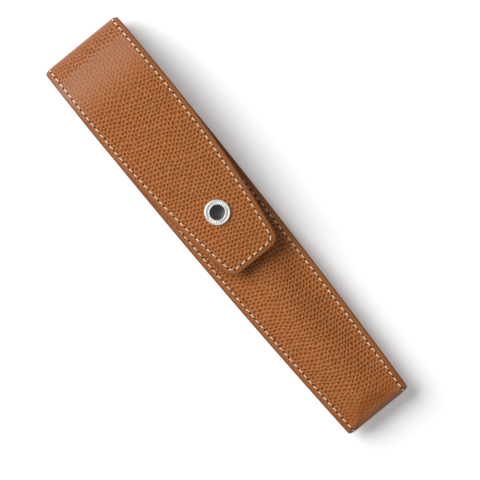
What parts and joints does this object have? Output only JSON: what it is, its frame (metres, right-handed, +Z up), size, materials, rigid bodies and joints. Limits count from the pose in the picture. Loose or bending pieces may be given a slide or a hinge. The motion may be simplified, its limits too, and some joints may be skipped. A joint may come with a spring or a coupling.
{
  "type": "single pen sleeve",
  "caption": "Long slim stitched leather sleeve that holds one pen, crowned front and back, with a fold-over flap closed by a round press stud.",
  "frame": {"origin": "bottom of the box, under its middle, on the plane the sleeve's back lies on", "axes": "+X from the flap's fold to the foot, +Y to the right of the front seen with the foot at the far end, +Z up out of the front"},
  "size_m": [0.1704, 0.0336, 0.0181],
  "materials": {
    "leather": "pebbled, satin",
    "lining": "smooth, matt",
    "thread": "waxed thread",
    "cap_metal": "satin",
    "cap_inlay": "dark, glossy",
    "snap_metal": "satin"
  },
  "bodies": {
    "sleeve": {"sleeve_leather": "leather", "sleeve_lining": "lining", "left_seam_thread": "thread", "right_seam_thread": "thread", "mouth_seam_thread": "thread", "snap_stud": "snap_metal", "snap_stud_post": "snap_metal"},
    "flap": {"flap_leather": "leather", "flap_lining": "lining", "flap_seam_thread": "thread", "snap_cap": "cap_metal", "snap_cap_inlay": "cap_inlay", "snap_socket": "snap_metal", "snap_spring": "snap_metal"},
    "fold_strip_1": {"fold_leather_1": "leather", "fold_lining_1": "lining", "fold_thread_1": "thread"},
    "fold_strip_2": {"fold_leather_2": "leather", "fold_lining_2": "lining", "fold_thread_2": "thread"},
    "fold_strip_3": {"fold_leather_3": "leather", "fold_lining_3": "lining", "fold_thread_3": "thread"}
  },
  "joints": [
    {"name": "fold_bend_1", "type": "hinge", "parent": "sleeve", "child": "fold_strip_1", "pos_m": [-0.07885, 0, 0.0005], "axis": [0, -1, 0], "range_deg": [0, 26.67]},
    {"name": "fold_bend_2", "type": "hinge", "parent": "fold_strip_1", "child": "fold_strip_2", "pos_m": [-0.08366, 0, 0.00292], "axis": [0, -1, 0], "range_deg": [0, 53.34]},
    {"name": "fold_bend_3", "type": "hinge", "parent": "fold_strip_2", "child": "fold_strip_3", "pos_m": [-0.0846, 0, 0.00822], "axis": [0, -1, 0], "range_deg": [0, 53.34]},
    {"name": "flap_swing", "type": "hinge", "parent": "fold_strip_3", "child": "flap", "pos_m": [-0.0809, 0, 0.01214], "axis": [0, -1, 0], "range_deg": [0, 26.67], "deforming": ["snap_spring"]}
  ]
}
